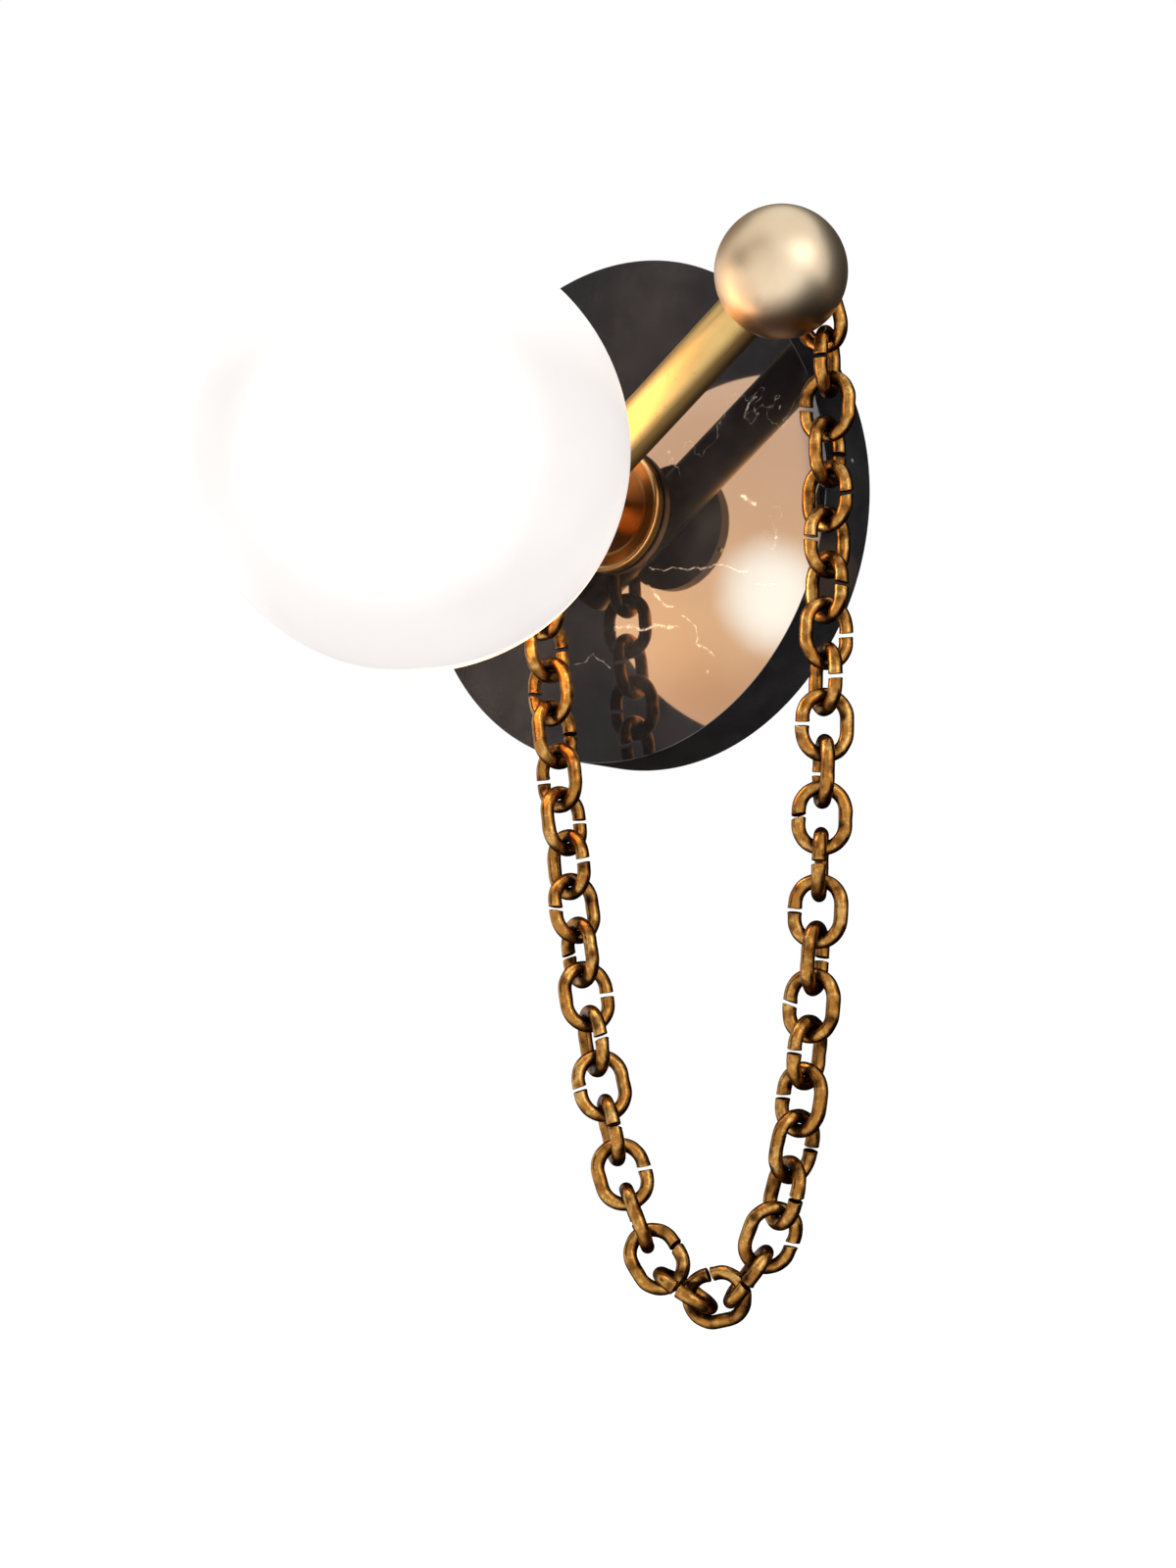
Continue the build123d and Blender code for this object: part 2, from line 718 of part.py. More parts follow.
# ------------------------------------------------------------------------ nodes and files
chain = make_chain()
nodes = {
    "wall_bracket": [make_bracket()],
    "nipple_nuts": [
        make_nut(nut_flats, low, nut_height, nipple_radius + thread_clearance)
        for low in (plateau_front, cup_floor)
    ],
    "threaded_nipple": [make_nipple()],
    "earth_screw": [make_earth_screw()],
    "earth_washer": [make_earth_washer()],
    "terminal_block": [make_block()],
    "terminal_inserts": make_inserts(),
    "terminal_clamp_screws": make_clamp_screws(),
    "terminal_fixing_screw": [make_block_screw()],
    "lead_live": [make_lead(-1)],
    "lead_neutral": [make_lead(1)],
    "marble_disc": [make_disc()],
    "rosette_washer": [make_washer()],
    "rosette": [make_rosette()],
    "arm_hub": [make_hub()],
    "arm_tube": [make_arm_tube()],
    "tube_end_cap": [make_end_cap()],
    "arm_saddle": [make_saddle()],
    "ball": [make_ball()],
    "ball_staple": [make_staple(*ball_staple_sizes())],
    "arm_staple": [make_staple(*arm_staple_sizes())],
    "globe_cup": [make_cup()],
    "globe": [make_globe()],
    "lampholder_cap": [make_holder_cap()],
    "lampholder_body": [make_holder_body()],
    "lampholder_shell": [make_shell()],
    "lampholder_contact": [make_contact()],
    "lamp_glass": [make_lamp_glass()],
    "lamp_cap": [make_lamp_cap()],
    "lamp_tip": [make_lamp_tip()],
    "chain_right_upper": chain[:8],
    "chain_right_lower": chain[8:16],
    "chain_bow": chain[16:26],
    "chain_left_lower": chain[26:33],
    "chain_left_upper": chain[33:],
}
for number, angle in enumerate(grub_angles, start=1):
    nodes[f"globe_screw_{number}"] = [make_grub(angle)]

# Out of the wall is -Y, and up is +Z.
on_wall = Plane(origin=(0, 0, 0), x_dir=(1, 0, 0), z_dir=(0, -1, 0))
os.makedirs("parts", exist_ok=True)
for name, pieces in nodes.items():
    solids = [solid for piece in pieces for solid in (on_wall * piece).solids()]
    export_step(solids[0] if len(solids) == 1 else Compound(children=solids), f"parts/{name}.step")
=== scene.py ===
import math
import bmesh
import bpy
from mathutils import Matrix, Vector, noise


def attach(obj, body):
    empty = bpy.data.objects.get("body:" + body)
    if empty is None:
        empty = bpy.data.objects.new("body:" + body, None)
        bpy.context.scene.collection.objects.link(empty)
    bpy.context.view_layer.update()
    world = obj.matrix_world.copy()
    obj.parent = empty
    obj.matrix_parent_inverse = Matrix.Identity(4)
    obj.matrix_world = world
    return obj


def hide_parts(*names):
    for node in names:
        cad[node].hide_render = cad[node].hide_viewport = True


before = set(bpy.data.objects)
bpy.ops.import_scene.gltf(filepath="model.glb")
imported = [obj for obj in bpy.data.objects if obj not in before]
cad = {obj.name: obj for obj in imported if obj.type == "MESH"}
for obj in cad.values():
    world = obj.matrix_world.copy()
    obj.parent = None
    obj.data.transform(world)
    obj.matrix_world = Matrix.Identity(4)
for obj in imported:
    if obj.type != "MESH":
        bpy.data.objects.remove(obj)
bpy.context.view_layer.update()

# The pieces are laid out as on the maker's bench, in millimetres: x to the right, y up and
# z out of the wall, from the centre of the disc's back. ON_WALL turns them to the frame, which is in
# metres, with x to the right, y into the wall and z up.
MM = 0.001
ON_WALL = Matrix.Rotation(math.radians(90), 4, "X") @ Matrix.Scale(MM, 4)

DISC_RADIUS, DISC_THICKNESS, DISC_ARRIS = 100.0, 30.0, 0.28
RECESS_RADIUS, RECESS_DEPTH = 55.97, 22.0
NIPPLE_HOLE = 5.4  # radius, through the stone and the rosette
ROSETTE_RADIUS, ROSETTE_BACK, ROSETTE_FRONT, ROSETTE_ARRIS = 25.0, 30.8, 34.2, 0.22
RIM_HIGHLIGHT = (22.8, 24.6)  # radii between which the rosette's rim is painted bright, as a highlight
ARM_OUT, ARM_RADIUS, ARM_RISE = 56.8, 9.8, math.radians(32.86)
BALL_REACH, BALL_RADIUS = 121.2, 24.5
GLOBE_RADIUS, GLOBE_WALL, GLOBE_ARRIS = 79.0, 3.0, 0.5
NECK_RADIUS, NECK_LENGTH, NECK_END = 23.0, 4.0, 68.7

# The chain. WIRE is the radius of its wire, and a link's length and width are taken over the wire.
WIRE, LINK_LENGTH, LINK_WIDTH, LINK_COUNT = 2.5, 27.3, 22.0, 39
LINK_CUT, LINK_PLAY, BEND_PLAY = 1.6, 0.2, 0.34
HANG_RIGHT, HANG_UNDER, HANG_BEHIND = 4.4, 21.6, 22.1  # of the chain's right end, from the ball's centre
BALL_STAPLE_BOW, BALL_STAPLE_LEG = 8.5, 6.6
BALL_STAPLE_TURN, BALL_STAPLE_LEAN = math.radians(14.0), math.radians(20.0)
ARM_STAPLE_BOW, ARM_STAPLE_LEG = 6.5, 10.6
ARM_STAPLE_REACH, ARM_STAPLE_DROP = -19.4, 21.0  # along the tube, and down to the chain's left end

UPRIGHT = Vector((0, 1, 0))
ARM_CROSSING = Vector((0, 0, ARM_OUT))
ARM_ALONG = Vector((math.cos(ARM_RISE), math.sin(ARM_RISE), 0))
BALL_CENTRE = ARM_CROSSING + ARM_ALONG * BALL_REACH
GLOBE_SHOULDER = NECK_END + NECK_LENGTH
GLOBE_OUT = GLOBE_SHOULDER + math.sqrt(GLOBE_RADIUS**2 - NECK_RADIUS**2)
RIGHT_PIVOT = BALL_CENTRE + Vector((HANG_RIGHT, -HANG_UNDER, -HANG_BEHIND))
LEFT_PIVOT = ARM_CROSSING + ARM_ALONG * ARM_STAPLE_REACH - UPRIGHT * ARM_STAPLE_DROP


# ------------------------------------------------------------------------------ shaders
class Wire:
    """A shader socket that can be used in a sum, so that a pattern reads as one expression."""

    def __init__(self, recipe, socket):
        self.recipe, self.socket = recipe, socket

    def sum(self, operation, *values, clamp=False):
        settings = {"operation": operation, "use_clamp": clamp}
        return self.recipe.node("ShaderNodeMath", settings, *values)

    def __add__(self, other):
        return self.sum("ADD", self, other)

    def __sub__(self, other):
        return self.sum("SUBTRACT", self, other)

    def __mul__(self, other):
        return self.sum("MULTIPLY", self, other)

    def __truediv__(self, other):
        return self.sum("DIVIDE", self, other)

    def __radd__(self, other):
        return self.sum("ADD", other, self)

    def __rsub__(self, other):
        return self.sum("SUBTRACT", other, self)

    def __rmul__(self, other):
        return self.sum("MULTIPLY", other, self)

    def __rtruediv__(self, other):
        return self.sum("DIVIDE", other, self)

    def __abs__(self):
        return self.sum("ABSOLUTE", self)

    def clamped(self):
        return self.sum("ADD", self, 0.0, clamp=True)

    def step(self, low, high):
        """0 up to low, 1 from high, and smooth between them."""
        settings = {"interpolation_type": "SMOOTHSTEP"}
        limits = {"From Min": low, "From Max": high}
        return self.recipe.node("ShaderNodeMapRange", settings, Value=self, **limits)


class Recipe:
    """One finish or one light: its material or its world, and the nodes that make it."""

    def __init__(self, name, world=False):
        self.owner = bpy.data.worlds.new(name) if world else bpy.data.materials.new(name)
        self.owner.use_nodes = True
        self.tree = self.owner.node_tree
        self.tree.nodes.clear()
        kind = "ShaderNodeOutputWorld" if world else "ShaderNodeOutputMaterial"
        self.output = self.tree.nodes.new(kind)

    def node(self, kind, settings=None, *values, out=0, **named):
        """A node of that type: its settings first, then values or links for its sockets. A value of
        None leaves its socket as it is."""
        node = self.tree.nodes.new(kind)
        for key, value in (settings or {}).items():
            setattr(node, key, value)
        for key, value in [*enumerate(values), *named.items()]:
            socket = node.inputs[key]
            if isinstance(value, Wire):
                self.tree.links.new(value.socket, socket)
            elif value is not None:
                socket.default_value = value
        return Wire(self, node.outputs[out])

    def place(self, scale=(1, 1, 1), turn=(0, 0, 0), shift=(0, 0, 0)):
        """Object coordinates in metres, turned and then stretched."""
        where = self.node("ShaderNodeTexCoord", None, out=3)
        if shift != (0, 0, 0) or turn != (0, 0, 0):
            where = self.node("ShaderNodeMapping", {"vector_type": "TEXTURE"}, where, shift, turn)
        return self.vector("MULTIPLY", where, scale)

    def vector(self, operation, *values, out=0, **named):
        return self.node("ShaderNodeVectorMath", {"operation": operation}, *values, out=out, **named)

    def facing(self, way, axis):
        """How far a vector points along an axis: 1 for two unit vectors that point the same way."""
        return self.vector("DOT_PRODUCT", way, axis, out=1)

    def noise(self, where, scale, detail=4.0, roughness=0.55, distortion=0.0):
        return self.node("ShaderNodeTexNoise", None, Vector=where, Scale=scale, Detail=detail,
                         Roughness=roughness, Distortion=distortion)

    def cells(self, where, scale):
        return self.node("ShaderNodeTexVoronoi", None, Vector=where, Scale=scale)

    def mix(self, factor, a, b):
        """Colour a where the factor is 0 and colour b where it is 1."""
        a, b = (colour if isinstance(colour, Wire) else (*colour, 1.0) for colour in (a, b))
        other_kinds = [None] * 5  # inputs 1 to 5, for numbers and vectors
        return self.node("ShaderNodeMix", {"data_type": "RGBA"}, factor, *other_kinds, a, b, out=2)

    def bump(self, height, depth):
        """The normal of a surface with that relief, its depth in metres."""
        return self.node("ShaderNodeBump", None, Height=height, Strength=1.0, Distance=depth)

    def finish(self, **sockets):
        """The surface itself, with constant numbers set on its own sockets."""
        values = {key.replace("_", " "): value for key, value in sockets.items()}
        for key in ("Base Color", "Emission Color"):
            if key in values and not isinstance(values[key], Wire):
                values[key] = (*values[key], 1.0)
        return self.show(self.node("ShaderNodeBsdfPrincipled", None, **values))

    def show(self, surface):
        """Ends the recipe with that surface."""
        self.tree.links.new(surface.socket, self.output.inputs["Surface"])
        return self.owner


# White veins in the stone's face, in millimetres to the right and up from its middle: the points that
# each one runs through, its half width and its strength.
VEINS = (
    (((15.9, -26.4), (34.0, -29.6), (50.2, -30.1), (62.7, -35.7)), 0.22, 0.75),
    (((16.2, -33.9), (21.8, -41.0), (26.7, -43.4)), 0.35, 0.85),
    (((-0.3, -46.4), (14.0, -49.5), (28.0, -50.9)), 0.50, 0.75),
    (((30.7, -47.5), (36.1, -52.2), (37.4, -59.7), (45.2, -64.7)), 0.22, 0.85),
    (((-22.5, -57.9), (-12.8, -56.2), (-4.4, -62.2)), 0.22, 0.55),
    (((61.1, -5.3), (67.2, -10.0)), 0.70, 1.00),
    (((67.1, -41.4), (75.7, -42.9)), 0.20, 0.60),
    (((64.5, 25.5), (69.5, 30.5)), 0.65, 0.75),
    (((-62.0, 30.0), (-48.0, 44.0), (-30.0, 50.0)), 0.25, 0.70),
)


def vein(r, where, start, end, half_width):
    """1 on a straight stretch of vein and 0 off it, in millimetres on the stone's face."""
    run = Vector((end[0] - start[0], 0, end[1] - start[1]))
    offset = r.vector("SUBTRACT", where, (start[0], 0, start[1]))
    share = r.facing(offset, run / run.length_squared)
    nearest = r.vector("SCALE", tuple(run), Scale=share.clamped())
    away = r.vector("DISTANCE", offset, nearest, out=1)
    return 1.0 - away.step(half_width * 0.2, half_width * 1.7)


def polished_marble():
    """Nearly black stone under a deep polish, clouded, with broken white veins, hairlines and specks."""
    r = Recipe("polished black marble")
    where = r.place()
    warp = r.noise(where, 9.0, 5.0, 0.6)
    bent = r.vector("MULTIPLY_ADD", warp, (0.05, 0.05, 0.05), where)
    cloud = r.noise(bent, 11.0, 5.0, 0.62).step(0.42, 0.74)
    fine = r.noise(bent, 70.0, 6.0, 0.7)
    # the veins stand square to the stone's face and wander by a millimetre or two
    flat = r.vector("MULTIPLY", where, (1 / MM, 0, 1 / MM))
    wander = r.node("ShaderNodeTexNoise", None, Vector=where, Scale=110.0, Detail=4.0, Roughness=0.65, out=1)
    reach = 3.5
    wander = r.vector("MULTIPLY_ADD", wander, (2 * reach, 0, 2 * reach), (-reach, 0, -reach))
    flat = r.vector("ADD", flat, wander)
    broken = r.noise(where, 330.0, 4.0, 0.65).step(0.42, 0.62)
    veins = 0.0
    for points, half_width, strength in VEINS:
        for start, end in zip(points, points[1:]):
            veins = veins + vein(r, flat, start, end, half_width) * strength
    hair = 1.0 - abs(r.noise(bent, 12.0, 5.0, 0.6, 0.3) - 0.5).step(0.0, 0.0022)
    few = r.noise(where, 14.0, 2.0, 0.5).step(0.55, 0.66)
    specks = (1.0 - r.cells(where, 95.0).step(0.03, 0.09)) * r.noise(where, 30.0, 2.0).step(0.58, 0.66)
    veins = ((veins + hair * few * 0.45) * (0.18 + 0.82 * broken) + specks * 0.7).clamped()
    ground = r.mix(cloud, (0.0125, 0.0132, 0.0152), (0.048, 0.047, 0.049))
    ground = r.mix(fine.step(0.5, 0.8) * 0.35, ground, (0.078, 0.075, 0.076))
    colour = r.mix(veins, ground, (0.74, 0.69, 0.64))
    gloss = 0.05 + 0.05 * fine.step(0.45, 0.75) + 0.16 * veins
    return r.finish(Base_Color=colour, Roughness=gloss, IOR=1.55, Specular_IOR_Level=0.3, Coat_Weight=1.0,
                    Coat_Roughness=0.03, Coat_IOR=1.95, Normal=r.bump(fine * 0.2 - veins * 0.3, 0.00006))


def tube_brass():
    """The arm tube's satin brass: scratches along it, and painted shade on its underside, towards the wall.
    """
    bright, deep, underside_shade = (0.70, 0.50, 0.20), (0.56, 0.36, 0.11), (0.075, 0.033, 0.007)
    r = Recipe("satin tube brass")
    lines = r.place((60, 900, 900), turn=(0, -ARM_RISE, 0))
    scratch = r.noise(lines, 1.0, 5.0, 0.65)
    where = r.place()
    tarnish = r.noise(where, 28.0, 5.0, 0.6).step(0.35, 0.75)
    speck = r.noise(where, 420.0, 3.0, 0.6).step(0.62, 0.74)
    colour = r.mix(tarnish * 0.55, bright, deep)
    colour = r.mix(speck * 0.35, colour, tuple(c * 0.55 for c in deep))
    under, in_wall = 0.48, 0.88  # painted shade falls on the side that faces a little down and mostly to the wall
    shade_direction = (under * math.sin(ARM_RISE), in_wall, -under * math.cos(ARM_RISE))
    depth = (r.facing(where, shade_direction) + in_wall * ARM_OUT * MM) / (ARM_RADIUS * MM)
    shaded_side = depth.step(0.0, 0.68)
    # painted shade: the colour darkens to a deep brown towards the tube's underside and the wall
    colour = r.mix(shaded_side * 0.95, colour, underside_shade)
    gloss = 0.40 + 0.14 * (scratch - 0.5) + 0.08 * tarnish + 0.15 * shaded_side
    return r.finish(Base_Color=colour, Metallic=1.0, Roughness=gloss, Normal=r.bump(scratch, 0.00002))


def spun_brass(name, bright, deep, roughness, rings=1400.0, relief=0.000012, rim=None):
    """Brass turned on a lathe: fine rings round the disc's axis, over a soft tarnish. A rim, from one
    radius to the next, is painted bright as a highlight."""
    r = Recipe(name)
    where = r.place()
    away = r.vector("LENGTH", r.vector("MULTIPLY", where, (1, 0, 1)), out=1)
    groove = r.noise(r.node("ShaderNodeCombineXYZ", None, away * rings, 0.0, 0.0), 1.0, 3.0, 0.6)
    tarnish = r.noise(where, 45.0, 5.0, 0.6).step(0.35, 0.7)
    colour = r.mix(tarnish * 0.7, bright, deep)
    if rim:
        # a painted highlight along the rim
        edge = 0.4 * MM
        inner, outer = (radius * MM for radius in rim)
        brightened = away.step(inner - edge, inner) * (1.0 - away.step(outer - edge, outer))
        colour = r.mix(brightened * 0.85, colour, (0.90, 0.66, 0.34))
    gloss = roughness + 0.12 * (groove - 0.5) + 0.1 * tarnish
    return r.finish(Base_Color=colour, Metallic=1.0, Roughness=gloss, Normal=r.bump(groove, relief))


def pearled_brass():
    """The ball's pale satin brass, uneven from handling, with painted shade underneath."""
    r = Recipe("pale satin brass")
    where = r.place()
    soft = r.noise(where, 38.0, 4.0, 0.5, 0.4).step(0.3, 0.75)
    grain = r.noise(where, 900.0, 3.0, 0.6)
    wide = r.noise(where, 16.0, 3.0, 0.5).step(0.35, 0.7)
    colour = r.mix(soft * 0.6, (0.84, 0.71, 0.53), (0.68, 0.49, 0.29))
    colour = r.mix(wide * 0.45, colour, (0.72, 0.52, 0.30))
    height = r.node("ShaderNodeSeparateXYZ", None, where, out=2)
    depth = (BALL_CENTRE.y * MM - height) / (BALL_RADIUS * MM)
    # painted shade: the lower part of the ball is darkened to a deep brown
    under = (depth + 0.12 * (soft - 0.5)).step(0.52, 0.96)
    colour = r.mix(under * 0.9, colour, (0.13, 0.055, 0.026))
    gloss = 0.36 + 0.08 * soft + 0.05 * (grain - 0.5)
    return r.finish(Base_Color=colour, Metallic=1.0, Roughness=gloss, Normal=r.bump(grain, 0.000006))


def hammered_brass():
    """Chain brass: an orange-brown tarnish, nearly black in the hollows and in painted shade, with ridges
    worn bright and painted highlights.
    """
    r = Recipe("hammered antique brass")
    where = r.place()
    dent_and_shade = r.node("ShaderNodeAttribute", {"attribute_name": "dent_and_shade"}, out=2)
    blotch = r.noise(where, 130.0, 5.0, 0.65)
    pits = r.noise(where, 700.0, 4.0, 0.7)
    # the dent layer holds the hammered hollows and the painted shade; both darken the colour here
    dark = (0.50 * dent_and_shade + 0.9 * (blotch - 0.46) + 0.5 * (pits - 0.5)).step(0.0, 0.62)
    # brighter on ridges out of the painted shade: partly wear, partly a painted highlight
    brightened = (1.0 - dent_and_shade).step(0.55, 0.95) * (0.5 * blotch + 0.5 * pits).step(0.46, 0.58)
    colour = r.mix(dark, (0.40, 0.168, 0.032), (0.040, 0.014, 0.005))
    colour = r.mix(brightened * 0.7, colour, (0.74, 0.455, 0.145))
    # nearly black in the deepest hollows and in the deepest painted shade
    colour = r.mix(dent_and_shade.step(0.75, 1.35), colour, (0.022, 0.011, 0.006))
    gloss = 0.20 + 0.20 * dark + 0.10 * (pits - 0.5)
    relief = pits * 0.30 + blotch * 0.70
    return r.finish(Base_Color=colour, Metallic=1.0, Roughness=gloss, Normal=r.bump(relief, 0.00020))


# Ways out from the globe's middle, in the frame's directions.
UP, DOWN = (0.0, 0.0, 1.0), (0.0, 0.0, -1.0)
ROOM_RIGHT = (0.55, -0.80, -0.24)
WALL_LEFT, WALL_LEFT_ABOVE = (-0.62, 0.785, 0.0), (-0.61, 0.78, 0.15)
WALL = (-0.174, 0.985, 0.0)
WALL_RIGHT_BELOW = (0.45, 0.79, -0.42)


def opal_glass():
    """Frosted opal glass with the lamp's glow painted on as emission, warmest and brightest where it faces
    the stone.
    """
    r = Recipe("frosted opal glass")
    where = r.place(shift=(0, -GLOBE_OUT * MM, 0))
    away = r.vector("NORMALIZE", where)
    level = r.vector("NORMALIZE", r.vector("MULTIPLY", where, (1, 1, 0)))
    turned = r.facing(level, WALL_LEFT)
    side = r.facing(level, WALL)
    pale = turned.step(-0.02, 0.22) * side.step(-0.45, 0.10)
    wallward = r.facing(away, WALL_LEFT_ABOVE).step(-0.10, 0.15)
    rear = turned.step(0.07, 0.20) * side.step(0.05, 0.70) * (0.4 + 0.6 * wallward)
    haze = r.noise(where, 16.0, 3.0, 0.5)
    spot = r.facing(away, WALL_RIGHT_BELOW) + 0.05 * (haze - 0.5)
    hot = spot.step(0.935, 1.005)
    warm = spot.step(0.80, 0.985)
    low = r.facing(away, DOWN).step(-0.30, 0.60)
    foot = r.facing(away, DOWN).step(0.45, 0.95)
    core = r.facing(away, ROOM_RIGHT).step(0.66, 0.95)
    high = r.facing(away, UP).step(0.10, 0.70)
    # painted glow on the room side: brighter low down, on top, and in a core towards the room's right
    front = r.mix(low, (0.0660, 0.0635, 0.0610), (0.0790, 0.0750, 0.0730))
    front = r.mix(haze.step(0.40, 0.66) * 0.5, front, (0.0680, 0.0620, 0.0610))
    front = r.mix(high, front, (0.098, 0.098, 0.097))
    front = r.mix(core, front, (0.100, 0.099, 0.097))
    # painted glow on the stone's side: warmer low down, darker at the foot, with a painted hot spot
    back = r.mix(low, (0.50, 0.300, 0.184), (0.66, 0.365, 0.175))
    back = r.mix(foot, back, (0.44, 0.205, 0.085))
    back = r.mix(warm * 0.5, back, (0.54, 0.325, 0.173))
    back = r.mix(haze.step(0.42, 0.66) * 0.25, back, (0.40, 0.225, 0.120))
    back = r.mix(hot, back, (0.92, 0.86, 0.74))
    front = r.mix(pale, front, (0.100, 0.097, 0.094))
    frost = r.bump(r.noise(where, 1500.0, 2.0), 0.000004)
    return r.finish(Base_Color=(0.60, 0.585, 0.575), Roughness=0.42, IOR=1.5, Normal=frost,
                    Emission_Color=r.mix(rear, front, back), Emission_Strength=8.0)


def plain_metal(name, colour, roughness, scale=260.0):
    """Zinc, nickel or raw brass on a small piece of hardware, with faint handling marks."""
    r = Recipe(name)
    where = r.place()
    marks = r.noise(where, scale, 5.0, 0.65)
    dull = r.noise(where, scale / 7, 3.0, 0.5).step(0.35, 0.7)
    tone = r.mix(dull * 0.5, colour, tuple(c * 0.62 for c in colour))
    gloss = roughness + 0.16 * (marks - 0.5) + 0.1 * dull
    return r.finish(Base_Color=tone, Metallic=1.0, Roughness=gloss, Normal=r.bump(marks, 0.00002))


def plain_body(name, colour, roughness, relief=0.00003, **more):
    """Porcelain, nylon, rubber or insulation: an even colour with a fine grain."""
    scale = 500.0
    r = Recipe(name)
    where = r.place()
    grain = r.noise(where, scale, 4.0, 0.6)
    shade = r.noise(where, scale / 12, 3.0, 0.5).step(0.3, 0.75)
    tone = r.mix(shade * 0.3, colour, tuple(c * 0.78 for c in colour))
    gloss = roughness + 0.1 * (grain - 0.5)
    return r.finish(Base_Color=tone, Roughness=gloss, Normal=r.bump(grain, relief), **more)


MARBLE = polished_marble()
TUBE_BRASS = tube_brass()
# Painted shade: the saddle and the globe's cup get brass made nearly black, so that the cup shows dark where
# the stone reflects it.
CUP_BRASS = spun_brass("dark cup brass", (0.13, 0.085, 0.05), (0.07, 0.045, 0.028), 0.36)
BRONZE = spun_brass("bronze brass", (0.40, 0.185, 0.055), (0.21, 0.085, 0.022), 0.28, 2200.0, 0.00002,
                    RIM_HIGHLIGHT)
BALL_BRASS = pearled_brass()
CHAIN_BRASS = hammered_brass()
OPAL = opal_glass()
ZINC = plain_metal("zinc plate", (0.62, 0.64, 0.66), 0.34)
RAW_BRASS = plain_metal("raw machined brass", (0.74, 0.58, 0.28), 0.30, 700.0)
NICKEL = plain_metal("nickel plate", (0.72, 0.71, 0.68), 0.24)
SOLDER = plain_metal("soft solder", (0.55, 0.56, 0.58), 0.42, 900.0)
PORCELAIN = plain_body("white porcelain", (0.80, 0.79, 0.75), 0.28, Coat_Weight=0.3)
NYLON = plain_body("milky nylon", (0.78, 0.78, 0.75), 0.42)
WASHER_RUBBER = plain_body("soft black washer", (0.018, 0.018, 0.018), 0.75, 0.00008)
BROWN_LEAD = plain_body("brown insulation", (0.10, 0.045, 0.02), 0.40)
BLUE_LEAD = plain_body("blue insulation", (0.02, 0.09, 0.30), 0.40)
LAMP_WHITE = plain_body("white lamp coating", (0.88, 0.87, 0.84), 0.22, 0.00001,
                        Emission_Color=(1.0, 0.88, 0.70), Emission_Strength=1.2)


# ------------------------------------------------------------------------ making pieces
def to_mesh(bm, name, finish=None):
    """A bench piece as a mesh, with its finish if it has one. The bench piece is used up."""
    mesh = bpy.data.meshes.new(name)
    bm.to_mesh(mesh)
    bm.free()
    if finish:
        mesh.materials.append(finish)
    return mesh


def stand(name, data):
    """Stands a mesh, a lamp or a lens in the scene, as an object of that name."""
    thing = bpy.data.objects.new(name, data)
    bpy.context.scene.collection.objects.link(thing)
    return thing


def placed(middle, x, y, z):
    """The matrix of a thing with its middle there and its axes along those three."""
    return Matrix.Translation(middle) @ Matrix((x, y, z)).transposed().to_4x4()


def put(name, bm, body, finish, nodes, crease=38.0, rounding=0):
    """Turns a bench piece to the frame, gives it its finish and lets it stand for its CAD nodes."""
    bmesh.ops.remove_doubles(bm, verts=bm.verts, dist=1e-5)
    bmesh.ops.recalc_face_normals(bm, faces=bm.faces)
    bmesh.ops.transform(bm, matrix=ON_WALL, verts=bm.verts)
    mesh = to_mesh(bm, name, finish)
    mesh.shade_smooth()
    mesh.set_sharp_from_angle(angle=math.radians(crease))
    piece = stand(name, mesh)
    if rounding:
        smoother = piece.modifiers.new("rounding", "SUBSURF")
        smoother.levels = smoother.render_levels = rounding
    else:
        even = piece.modifiers.new("even faces", "WEIGHTED_NORMAL")
        even.weight, even.keep_sharp = 100, True
    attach(piece, body)
    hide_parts(*nodes)


def trace(bm, start, *runs):
    """A turned outline in the xz plane: each run is a point to go to, or a centre with degrees and steps.
    Returns its first and last vertex."""
    pen = bm.verts.new((start[0], 0, start[1]))
    first = pen
    for run in runs:
        if len(run) == 2:
            new = bm.verts.new((run[0], 0, run[1]))
            bm.edges.new((pen, new))
            pen = new
        else:
            (x, z), degrees, steps = run
            swept = bmesh.ops.spin(bm, geom=[pen], cent=(x, 0, z), axis=(0, -1, 0),
                                   angle=math.radians(degrees), steps=steps)
            pen = next(v for v in swept["geom_last"] if isinstance(v, bmesh.types.BMVert))
    return first, pen


def turn_on_lathe(bm, steps):
    """Spins the outline once round the z axis."""
    bmesh.ops.spin(bm, geom=bm.verts[:] + bm.edges[:], cent=(0, 0, 0), axis=(0, 0, 1), angle=2 * math.pi,
                   steps=steps, use_merge=True)
    bmesh.ops.remove_doubles(bm, verts=bm.verts, dist=1e-4)


def soften(bm, width, segments=3, sharper_than=30.0):
    """A small rounded bevel on every edge that is sharper than that."""
    sharp = [e for e in bm.edges if e.is_manifold and e.calc_face_angle(0) > math.radians(sharper_than)]
    bmesh.ops.bevel(bm, geom=sharp, offset=width, offset_type="OFFSET", affect="EDGES", segments=segments,
                    profile=0.5, material=-1, clamp_overlap=True)


def make_disc():
    """The stone disc, with the turned recess in its back."""
    bm = bmesh.new()
    first, last = trace(
        bm, (NIPPLE_HOLE, RECESS_DEPTH), (RECESS_RADIUS, RECESS_DEPTH), (RECESS_RADIUS, 0),
        (DISC_RADIUS, 0), (DISC_RADIUS, DISC_THICKNESS), (NIPPLE_HOLE, DISC_THICKNESS),
    )
    bm.edges.new((last, first))
    turn_on_lathe(bm, 180)
    soften(bm, DISC_ARRIS)
    put("marble_disc_polished", bm, "frame", MARBLE, ["marble_disc"])


